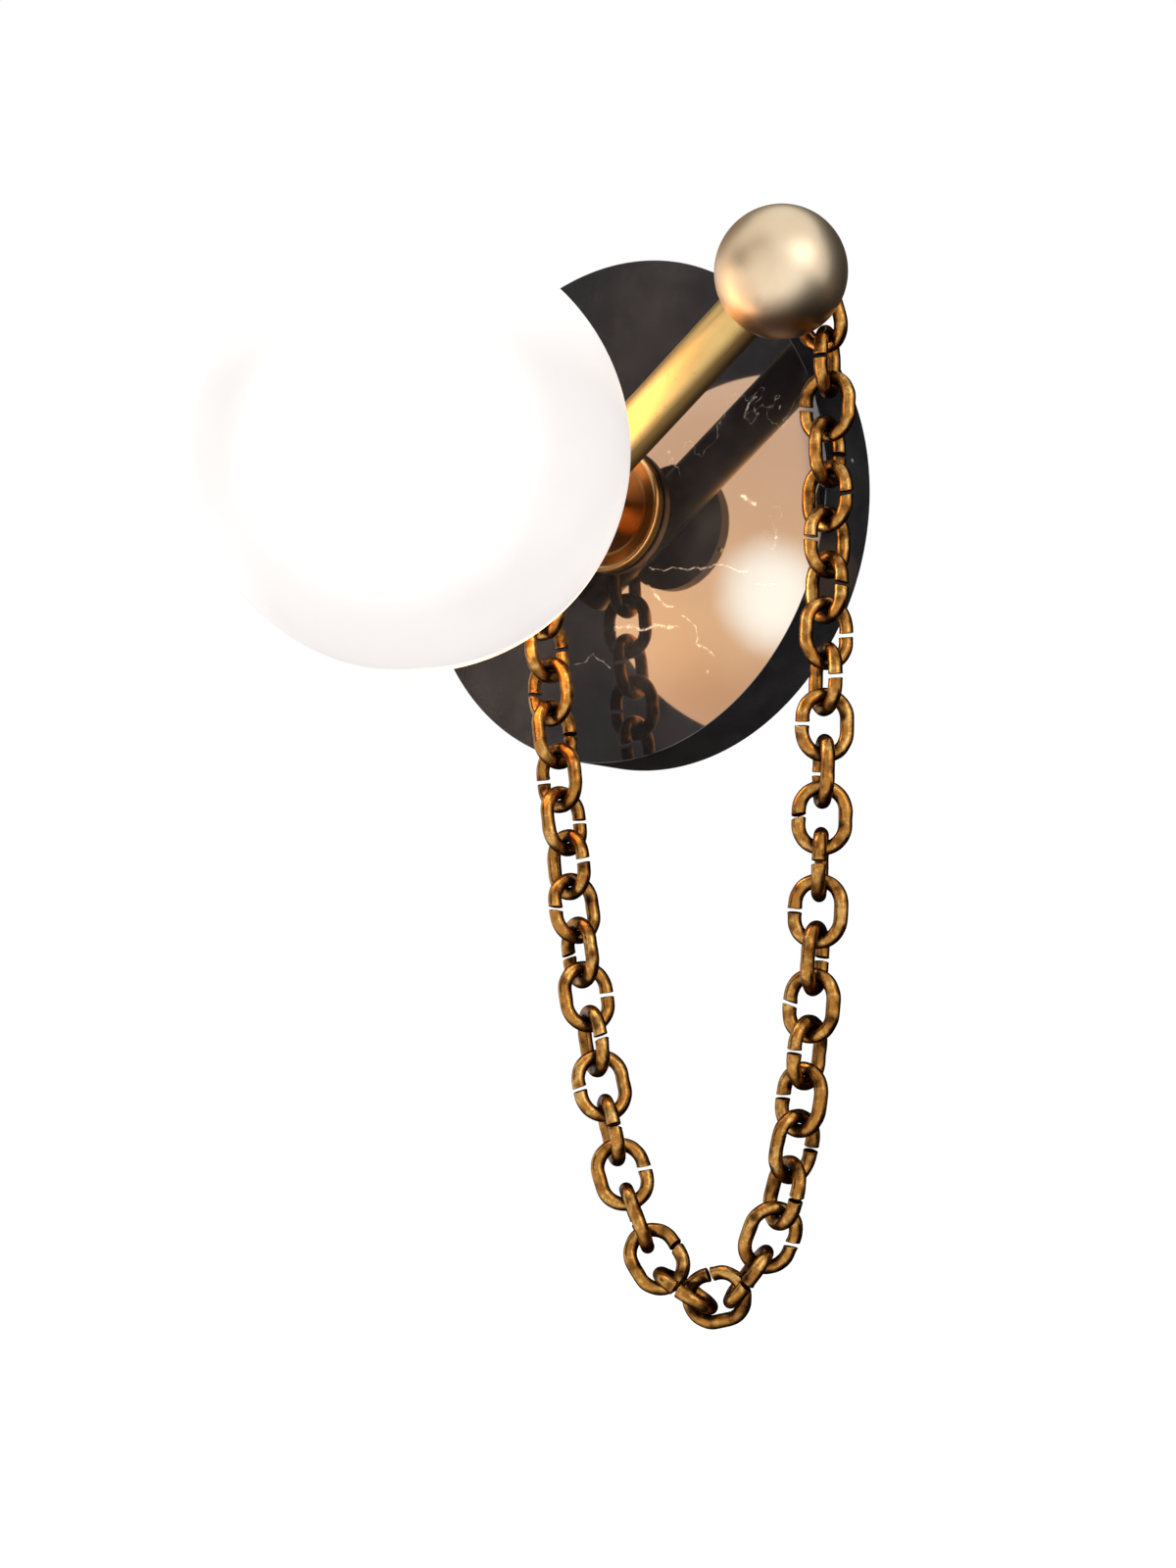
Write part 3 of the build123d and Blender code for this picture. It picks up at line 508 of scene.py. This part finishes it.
def make_rosette():
    """A shallow dish with a rolled rim and a raised ring inside it; its finish paints a highlight on the
    rim.
    """
    rim = ROSETTE_FRONT
    bm = bmesh.new()
    first, last = trace(
        bm, (NIPPLE_HOLE, ROSETTE_BACK), (ROSETTE_RADIUS, ROSETTE_BACK), (ROSETTE_RADIUS, rim - 0.6),
        (ROSETTE_RADIUS - 0.5, rim), (ROSETTE_RADIUS - 1.7, rim), (ROSETTE_RADIUS - 2.4, rim - 0.7),
        (18.6, rim - 0.3), (17.4, rim - 1.0), (NIPPLE_HOLE, rim - 1.25),
    )
    bm.edges.new((last, first))
    turn_on_lathe(bm, 128)
    soften(bm, ROSETTE_ARRIS, sharper_than=20.0)
    put("rosette_turned", bm, "frame", BRONZE, ["rosette"])


def make_ball():
    """The ball as a whole sphere: the tube and the staple run into it."""
    bm = bmesh.new()
    trace(bm, (0, -BALL_RADIUS), ((0, 0), 180, 64))
    turn_on_lathe(bm, 128)
    bmesh.ops.translate(bm, verts=bm.verts, vec=BALL_CENTRE)
    put("ball_satin", bm, "frame", BALL_BRASS, ["ball"])


def make_globe():
    """The blown ball and its plain neck, one wall all through."""
    bm = bmesh.new()
    inner, bore = GLOBE_RADIUS - GLOBE_WALL, NECK_RADIUS - GLOBE_WALL
    open_out = math.degrees(math.asin(NECK_RADIUS / GLOBE_RADIUS))
    open_in = math.degrees(math.asin(bore / inner))
    first, last = trace(
        bm, (bore, NECK_END), (NECK_RADIUS, NECK_END), (NECK_RADIUS, GLOBE_SHOULDER),
        ((0, GLOBE_OUT), 180 - open_out, 72), (0, GLOBE_OUT + inner),
        ((0, GLOBE_OUT), open_in - 180, 56),
    )
    bm.edges.new((last, first))
    turn_on_lathe(bm, 144)
    soften(bm, GLOBE_ARRIS, sharper_than=50.0)
    put("globe_blown", bm, "globe", OPAL, ["globe"])


# ---------------------------------------------------------------------------- the chain
# Degrees that the chain has twisted by at those links, counted from the ball.
CHAIN_TWIST = ((0, -14.0), (18, 112.0), (20, 138.0), (22, 172.0), (24, 203.0), (26, 212.0), (34, 254.0))
# The leg that each link is cut on, from the ball round to the arm, as the links hang before someone
# on the lamp's right: left, right, front, back or top.
CUT_LEGS = "LLRRLRRRLBLFLBLLLRRRFTTTBRFLFRBLFRLRLRB"
VIEWER_BEARING = math.radians(38.4)  # of that place, from straight in front
BOW = LINK_WIDTH / 2 - WIRE  # radius of a link's round ends, along the wire's middle
LEG = LINK_LENGTH / 2 - WIRE - BOW  # half of its straight side
WIRE_SIDES = 18  # before rounding
CUT_ARRIS = 0.25
CUT_SLANT, CUT_SPREAD = 0.22, 0.06  # the slope of the wire's cut ends, and how much thicker they are


def chain_directions():
    """The level way from the arm's staple to the ball's, and the chain plane's normal, into the room."""
    span = RIGHT_PIVOT - LEFT_PIVOT
    level = Vector((span.x, 0, span.z)).normalized()
    return level, level.cross(UPRIGHT)


def joint_reach(play, turn=0.0):
    """From the joint between two links to either one's wire, when one has slid that far round the
    other's bow."""
    inner = BOW - 2 * WIRE - play
    room = BOW**2 - 2 * (BOW**2 - inner**2) / (1 + math.cos(turn))
    return (BOW - math.sqrt(max(room, 0.0))) / 2


def catenary(sag):
    """The hanging curve through both pivots, as height over the left one."""
    reach = RIGHT_PIVOT - LEFT_PIVOT
    span = math.hypot(reach.x, reach.z)
    foot = span / 2 - sag * math.asinh(reach.y / (2 * sag * math.sinh(span / (2 * sag))))
    return span, lambda x: sag * (math.cosh((x - foot) / sag) - math.cosh(foot / sag))


def walk(sag, chords):
    """The joints of a chain with those lengths, laid on the curve from the right pivot."""
    span, height = catenary(sag)
    x, joints = span, [(span, height(span))]
    for chord in chords:
        y, low, high = height(x), x - chord, x
        for _ in range(50):
            middle = (low + high) / 2
            short = math.hypot(middle - x, height(middle) - y) < chord
            low, high = (low, middle) if short else (middle, high)
        x = (low + high) / 2
        joints.append((x, height(x)))
    return joints


def hang(chords):
    """The joints when the last one just meets the left pivot."""
    shallow, deep = 60.0, 8.0
    for _ in range(60):
        sag = (shallow + deep) / 2
        past = walk(sag, chords)[-1][0] < 0
        shallow, deep = (sag, deep) if past else (shallow, sag)
    return walk((shallow + deep) / 2, chords)


def hang_links():
    """Each link's joints, with room for the wire where the chain turns sharply."""
    centreline = LINK_LENGTH - 2 * WIRE
    reaches = [joint_reach(LINK_PLAY)] * (LINK_COUNT + 1)
    for _ in range(6):
        joints = hang([centreline - a - b for a, b in zip(reaches, reaches[1:])])
        headings = [math.atan2(b[1] - a[1], b[0] - a[0]) for a, b in zip(joints, joints[1:])]
        bends = [abs((b - a + math.pi) % (2 * math.pi) - math.pi) for a, b in zip(headings, headings[1:])]
        reaches = [max(joint_reach(LINK_PLAY), joint_reach(BEND_PLAY, bend)) for bend in (0.0, *bends, 0.0)]
    return joints, reaches


def even_turn(number):
    """The twist of an even link, between the stations of CHAIN_TWIST."""
    for (a, low), (b, high) in zip(CHAIN_TWIST, CHAIN_TWIST[1:]):
        if number <= b:
            return low + (high - low) * (number - a) / (b - a)
    return CHAIN_TWIST[-1][1]


def link_places():
    """A matrix for each link: its x along the link, its y towards the leg with the cut."""
    level, normal = chain_directions()
    joints, reaches = hang_links()
    points = [LEFT_PIVOT + level * x + UPRIGHT * y for x, y in joints]
    right = Vector((math.cos(VIEWER_BEARING), 0, -math.sin(VIEWER_BEARING)))
    front = Vector((math.sin(VIEWER_BEARING), 0, math.cos(VIEWER_BEARING)))
    towards = {"R": right, "L": -right, "F": front, "B": -front, "T": UPRIGHT}
    places = []
    for number in range(1, LINK_COUNT + 1):
        a, b = points[number - 1], points[number]
        along = (b - a).normalized()
        side = normal.cross(along)
        twist = math.radians(even_turn(number) + 90.0 * (number % 2))
        across = side * math.cos(twist) + normal * math.sin(twist)
        if across.dot(towards[CUT_LEGS[number - 1]]) < 0:
            across = -across
        centre = a + along * (LINK_LENGTH / 2 - WIRE - reaches[number - 1])
        places.append(placed(centre, along, across, along.cross(across)))
    return places


def draw_wire(bm, ring, steps, move):
    """Draws the wire on in a straight run, in so many steps, and returns its new end."""
    for _ in range(steps):
        drawn = bmesh.ops.extrude_edge_only(bm, edges=ring)["geom"]
        corners = [g for g in drawn if isinstance(g, bmesh.types.BMVert)]
        bmesh.ops.translate(bm, verts=corners, vec=Vector(move) / steps)
        edges = [g for g in drawn if isinstance(g, bmesh.types.BMEdge) and len(g.link_faces) == 1]
        ring = [e for e in edges if all(v in corners for v in e.verts)]
    return ring


def bend_wire(bm, ring, centre, axis, degrees, steps):
    """Bends the wire on round a centre, and returns its new end."""
    bent = bmesh.ops.spin(bm, geom=ring, cent=centre, axis=axis, angle=math.radians(degrees), steps=steps)
    return [g for g in bent["geom_last"] if isinstance(g, bmesh.types.BMEdge)]


def wire_end(bm, place):
    """A round wire's end, with its axis along the place's z."""
    bmesh.ops.create_circle(bm, cap_ends=False, segments=WIRE_SIDES, radius=WIRE, matrix=place)
    return bm.edges[:]


def close_ends(bm):
    """Caps the wire's two ends and breaks their edges."""
    rims = [e for e in bm.edges if len(e.link_faces) == 1]
    bmesh.ops.holes_fill(bm, edges=rims, sides=0)
    bmesh.ops.recalc_face_normals(bm, faces=bm.faces)
    soften(bm, CUT_ARRIS, segments=2, sharper_than=60.0)


def wear(bm, seed):
    """Hammers a wire: shallow flats all round it, deepest mid-way between its ridges. The dent layer
    keeps how deep each place is, for the dark tarnish in the hollows; painted shade is added to it later."""
    flats_per_mm, swells_per_mm = 0.22, 0.16
    ridge, hollow, swelling = 0.18, 0.26, 0.12  # millimetres out of the wire, and into it
    dent_and_shade = bm.verts.layers.float.new("dent_and_shade")
    bm.normal_update()
    moves = []
    for v in bm.verts:
        spot = v.co * flats_per_mm + Vector((seed * 7.31, seed * 3.77, seed * 5.13))
        near = noise.voronoi(spot)[0]
        flat = max(0.0, 1.0 - near[0] * 1.7)
        swell = noise.noise(v.co * swells_per_mm + Vector((seed, 0, 0)))
        v[dent_and_shade] = min(1.0, flat * 0.85 + max(0.0, -swell) * 0.5)
        moves.append(v.normal * (ridge - hollow * flat + swelling * swell))
    for v, move in zip(bm.verts, moves):
        v.co += move


def paint_shade_behind(bm):
    """Painted shade: the colour is darkened on the side of the wire away from the room."""
    dent_and_shade = bm.verts.layers.float["dent_and_shade"]
    room, shaded_below, darkest = Vector((0.48, 0.14, 0.866)), 0.74, 0.80
    bm.normal_update()
    for v in bm.verts:
        v[dent_and_shade] += min(darkest, 1.05 * max(0.0, shaded_below - v.normal.dot(room)))


def paint_shade_inside(bm):
    """Painted shade on the inner side of a link, and most of it in its bows, where the links meet."""
    dent_and_shade = bm.verts.layers.float["dent_and_shade"]
    inner_shade, more_in_bow = 0.32, 1.6
    for v in bm.verts:
        inner = BOW - math.hypot(max(abs(v.co.x) - LEG, 0.0), v.co.y)
        in_bow = abs(v.co.x) > LEG + 2 * WIRE
        v[dent_and_shade] += inner_shade * max(0.0, inner / WIRE) * (more_in_bow if in_bow else 1.0)


def nip_cut(bm, number):
    """Slants and spreads the wire's two ends at the cut, each link's in its own way."""
    slant = CUT_SLANT * Vector((0, math.sin(number * 2.4), math.cos(number * 1.7)))
    for v in bm.verts:
        if v.co.y > 0 and abs(v.co.x) < LINK_CUT / 2 + 0.01:
            off = v.co - Vector((v.co.x, BOW, 0))
            v.co += Vector((slant.dot(off), 0, 0)) + off * CUT_SPREAD


def forge_link(number, place):
    """One link: wire drawn from its cut, round both bows and back to the cut."""
    bm = bmesh.new()
    gap = LINK_CUT / 2
    start = Matrix.Translation((gap, BOW, 0)) @ Matrix.Rotation(math.radians(90), 4, "Y")
    ring = wire_end(bm, start)
    ring = draw_wire(bm, ring, 2, (LEG - gap, 0, 0))
    ring = bend_wire(bm, ring, (LEG, 0, 0), (0, 0, -1), 180, steps=22)
    ring = draw_wire(bm, ring, 4, (-2 * LEG, 0, 0))
    ring = bend_wire(bm, ring, (-LEG, 0, 0), (0, 0, -1), 180, steps=22)
    draw_wire(bm, ring, 2, (LEG - gap, 0, 0))
    nip_cut(bm, number)
    close_ends(bm)
    wear(bm, number)
    paint_shade_inside(bm)
    bmesh.ops.transform(bm, matrix=place, verts=bm.verts)
    paint_shade_behind(bm)
    return bm


def forge_staple(hang_point, across, up, bow, leg, seed):
    """A half link: one bow of wire with a straight leg at each end."""
    bm = bmesh.new()
    ring = wire_end(bm, Matrix.Translation((-bow, leg, 0)) @ Matrix.Rotation(math.radians(90), 4, "X"))
    ring = draw_wire(bm, ring, 5, (0, -leg, 0))
    ring = bend_wire(bm, ring, (0, 0, 0), (0, 0, 1), 180, steps=20)
    draw_wire(bm, ring, 5, (0, leg, 0))
    close_ends(bm)
    wear(bm, seed)
    middle = hang_point - UPRIGHT * joint_reach(LINK_PLAY) + up * bow
    place = placed(middle, across, up, across.cross(up))
    bmesh.ops.transform(bm, matrix=place, verts=bm.verts)
    paint_shade_behind(bm)
    return bm


def join(parts):
    """Several worn bench pieces as one."""
    whole = bmesh.new()
    whole.verts.layers.float.new("dent_and_shade")
    for bm in parts:
        scrap = to_mesh(bm, "scrap")
        whole.from_mesh(scrap)
        bpy.data.meshes.remove(scrap)
    return whole


def put_forged(node, body, wires):
    """Puts up forged wires as the piece for that CAD node."""
    put(f"{node}_forged", join(wires), body, CHAIN_BRASS, [node], crease=60.0, rounding=1)


def make_chain():
    """The chain's links, in the five runs that the CAD has."""
    links = [forge_link(n, place) for n, place in enumerate(link_places(), start=1)]
    runs = {"chain_right_upper": (0, 8), "chain_right_lower": (8, 16), "chain_bow": (16, 26),
            "chain_left_lower": (26, 33), "chain_left_upper": (33, LINK_COUNT)}
    for node, (first, last) in runs.items():
        put_forged(node, "chain", links[first:last])


def make_staples():
    """The bow behind the ball, turned and leant as it is let in there, and the one under the tube."""
    level, normal = chain_directions()
    across = level * math.cos(BALL_STAPLE_TURN) + normal * math.sin(BALL_STAPLE_TURN)
    up = UPRIGHT * math.cos(BALL_STAPLE_LEAN) + across.cross(UPRIGHT) * math.sin(BALL_STAPLE_LEAN)
    staple = forge_staple(RIGHT_PIVOT, across, up, BALL_STAPLE_BOW, BALL_STAPLE_LEG, seed=51)
    put_forged("ball_staple", "frame", [staple])
    out = Vector((0, 0, 1))
    staple = forge_staple(LEFT_PIVOT, out, UPRIGHT, ARM_STAPLE_BOW, ARM_STAPLE_LEG, seed=57)
    put_forged("arm_staple", "frame", [staple])


make_disc()
make_rosette()
make_ball()
make_globe()
make_chain()
make_staples()

# ------------------------------------------------------- finishes of the machined pieces
FINISHES = {
    ZINC: ("wall_bracket", "earth_washer", "terminal_clamp_screws", "terminal_fixing_screw"),
    RAW_BRASS: ("nipple_nuts", "threaded_nipple", "earth_screw", "terminal_inserts", "globe_screw_1",
                "globe_screw_2", "globe_screw_3", "lampholder_contact"),
    NYLON: ("terminal_block",),
    BROWN_LEAD: ("lead_live",),
    BLUE_LEAD: ("lead_neutral",),
    WASHER_RUBBER: ("rosette_washer",),
    BRONZE: ("arm_hub",),
    TUBE_BRASS: ("arm_tube", "tube_end_cap"),
    CUP_BRASS: ("arm_saddle", "globe_cup"),
    PORCELAIN: ("lampholder_cap", "lampholder_body"),
    NICKEL: ("lampholder_shell", "lamp_cap"),
    LAMP_WHITE: ("lamp_glass",),
    SOLDER: ("lamp_tip",),
}
for finish, nodes in FINISHES.items():
    for node in nodes:
        mesh = cad[node].data
        mesh.materials.clear()
        mesh.materials.append(finish)


# -------------------------------------------------------------------- studio, in metres
WHITE = (1.0, 1.0, 1.0, 1.0)
CAMERA_RAY, GLOSSY_RAY, TRANSMISSION_RAY = 0, 3, 6  # outputs of the Light Path node
FLOOR_HEIGHT, FLOOR_REACH = -0.65, 30.0
OBJECT_MIDDLE = (0.02, -0.08, -0.06)


def seen_by(r, *rays):
    """1 for those kinds of ray and 0 for the others."""
    seen, *others = (r.node("ShaderNodeLightPath", None, out=ray) for ray in rays)
    for other in others:
        seen = seen.sum("MAXIMUM", seen, other)
    return seen


def studio_world():
    """White behind the object and in its reflections, and an even pale light on it."""
    r = Recipe("studio", world=True)
    white = seen_by(r, CAMERA_RAY, GLOSSY_RAY, TRANSMISSION_RAY)
    light = r.node("ShaderNodeBackground", None, (0.97, 0.98, 1.0, 1.0), 0.55)
    backdrop = r.node("ShaderNodeBackground", None, WHITE, 1.0)
    bpy.context.scene.world = r.show(r.node("ShaderNodeMixShader", None, white, light, backdrop))


def pale_floor():
    """A plain floor that is lifted to white where it is seen, and takes the object's shadow."""
    r = Recipe("pale floor")
    lit = r.node("ShaderNodeBsdfDiffuse", None, (0.86, 0.86, 0.86, 1.0))
    lift = r.node("ShaderNodeEmission", None, WHITE, seen_by(r, CAMERA_RAY, GLOSSY_RAY) * 0.62)
    paint = r.show(r.node("ShaderNodeAddShader", None, lit, lift))
    bm = bmesh.new()
    bmesh.ops.create_grid(bm, x_segments=1, y_segments=1, size=FLOOR_REACH)
    bmesh.ops.translate(bm, verts=bm.verts, vec=(0, 0, FLOOR_HEIGHT))
    floor = stand("floor", to_mesh(bm, "floor", paint))


def aimed(place, towards, front):
    """The matrix of a thing at that place, with its front axis towards a point."""
    turned = (Vector(towards) - Vector(place)).to_track_quat(front, "Y").to_matrix().to_4x4()
    return Matrix.Translation(place) @ turned


def dark_card(name, place, towards, width, height, shade):
    """A studio flag out of the picture, seen only in the polished pieces. Its edges fade out."""
    fade = 0.2  # the share of its width and height that each edge takes
    r = Recipe(name)
    corner = r.node("ShaderNodeTexCoord", None, out=2)
    across, along = (r.node("ShaderNodeSeparateXYZ", None, corner, out=axis) for axis in (0, 1))
    inside = (0.5 - abs(across - 0.5)).step(0.0, fade) * (0.5 - abs(along - 0.5)).step(0.0, fade)
    clear = r.node("ShaderNodeBsdfTransparent", None)
    glow = r.node("ShaderNodeEmission", None, (*shade, 1.0), 1.0)
    cloth = r.show(r.node("ShaderNodeMixShader", None, inside, clear, glow))
    bm = bmesh.new()
    bm.loops.layers.uv.new("card")
    bmesh.ops.create_grid(bm, x_segments=1, y_segments=1, size=0.5, calc_uvs=True)
    bmesh.ops.scale(bm, vec=(width, height, 1), verts=bm.verts)
    bmesh.ops.transform(bm, matrix=aimed(place, towards, "Z"), verts=bm.verts)
    card = stand(name, to_mesh(bm, name, cloth))
    card.visible_camera = card.visible_diffuse = card.visible_shadow = card.visible_transmission = False


def softbox(name, place, size, power, colour, mirrored=True):
    """A square lamp towards the object. One that isn't mirrored lights it without being reflected."""
    lamp = bpy.data.lights.new(name, "AREA")
    lamp.shape, lamp.size, lamp.energy, lamp.color = "SQUARE", size, power, colour
    holder = stand(name, lamp)
    holder.matrix_world = aimed(place, OBJECT_MIDDLE, "-Z")
    holder.visible_glossy = mirrored


# The camera that fits the photograph's outlines.
CAMERA_PLACE = (0.6091, -0.8220, -0.25954)
CAMERA_AZIMUTH, CAMERA_ELEVATION, CAMERA_ROLL = (math.radians(degrees) for degrees in (38.36, -8.6, -2.0))
SENSOR, FOCAL_PIXELS, PHOTO_HEIGHT = 36.0, 2657.5, 1600.0  # millimetres, then pixels of the photograph


def set_camera():
    """The photograph's standpoint: on the light's right and a little below it, looking up."""
    azimuth, elevation, roll = CAMERA_AZIMUTH, CAMERA_ELEVATION, CAMERA_ROLL
    right = Vector((math.cos(azimuth), math.sin(azimuth), 0))
    ahead = Vector((-math.sin(azimuth) * math.cos(elevation), math.cos(azimuth) * math.cos(elevation),
                    -math.sin(elevation)))
    up = right.cross(ahead)
    across = right * math.cos(roll) + up * math.sin(roll)
    upward = up * math.cos(roll) - right * math.sin(roll)
    lens = bpy.data.cameras.new("camera")
    lens.sensor_fit, lens.sensor_width = "AUTO", SENSOR
    lens.lens = SENSOR * FOCAL_PIXELS / PHOTO_HEIGHT
    lens.clip_start, lens.clip_end = 0.01, 200.0
    camera = stand("camera", lens)
    camera.matrix_world = placed(CAMERA_PLACE, across, upward, -ahead)
    bpy.context.scene.camera = camera


studio_world()
pale_floor()
softbox("key softbox", (-0.9, -1.5, 1.3), 0.9, 6.0, (1.0, 0.98, 0.96), mirrored=False)
softbox("side softbox", (1.6, -0.55, 0.45), 1.0, 4.5, (1.0, 0.98, 0.95))
dark_card("left flag", (-1.18, -1.53, 0.50), OBJECT_MIDDLE, 1.5, 1.5, (0.12, 0.115, 0.12))
dark_card("front flag", (0.02, -1.45, 1.0), OBJECT_MIDDLE, 1.2, 0.55, (0.30, 0.20, 0.12))
dark_card("top flag", (-1.3, 0.4, 1.5), OBJECT_MIDDLE, 2.2, 1.8, (0.10, 0.08, 0.06))
dark_card("rear flag", (0.0, 1.3, 0.6), (0.0, 0.0, 0.6), 6.4, 4.2, (0.014, 0.011, 0.010))
dark_card("warm rear flag", (0.95, 1.25, -0.45), OBJECT_MIDDLE, 1.1, 0.7, (0.16, 0.09, 0.05))
dark_card("low flag", (0.0, 0.9, FLOOR_HEIGHT + 0.01), (0.0, 0.9, 0.0), 5.0, 2.8, (0.014, 0.010, 0.008))
set_camera()
bpy.context.scene.view_settings.view_transform = "Standard"
